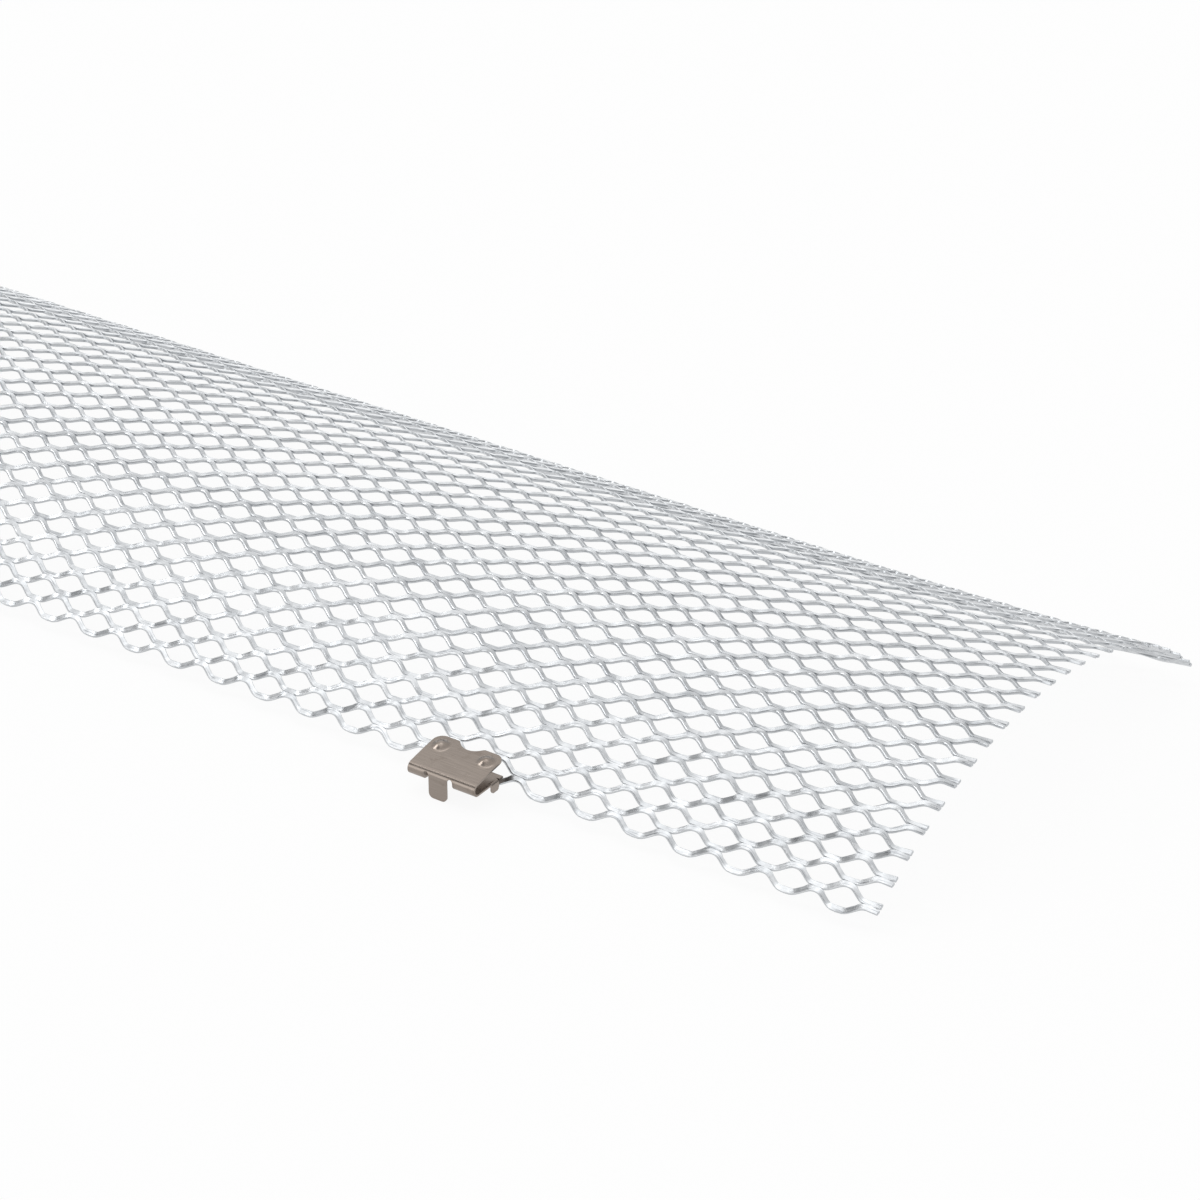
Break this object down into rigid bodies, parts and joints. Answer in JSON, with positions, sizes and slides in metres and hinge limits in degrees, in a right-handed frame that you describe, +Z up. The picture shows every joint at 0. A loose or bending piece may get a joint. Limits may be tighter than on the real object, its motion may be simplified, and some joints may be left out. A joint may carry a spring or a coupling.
{
  "type": "gutter guard",
  "caption": "Long arched strip of galvanised expanded steel mesh that keeps leaves out of a roof gutter, with a spring clip on its front edge.",
  "frame": {"origin": "centre of the bounding box on the floor that the strip rests on", "axes": "+X along the strip, towards the end nearest the clip; +Y across it, from the clip edge to the far edge; +Z up, out of the crown of the arch"},
  "size_m": [1, 0.17, 0.0319],
  "materials": {
    "galvanised_mesh": "hot-dip zinc, bright, slightly spangled",
    "clip_steel": "plain rolled spring steel, satin, warm grey"
  },
  "bodies": {
    "root": {"mesh_panel_1": "galvanised_mesh", "mesh_panel_2": "galvanised_mesh", "mesh_panel_3": "galvanised_mesh", "mesh_panel_4": "galvanised_mesh", "mesh_panel_5": "galvanised_mesh", "mesh_panel_6": "galvanised_mesh", "mesh_panel_7": "galvanised_mesh", "mesh_panel_8": "galvanised_mesh", "spring_clip": "clip_steel"}
  },
  "joints": []
}
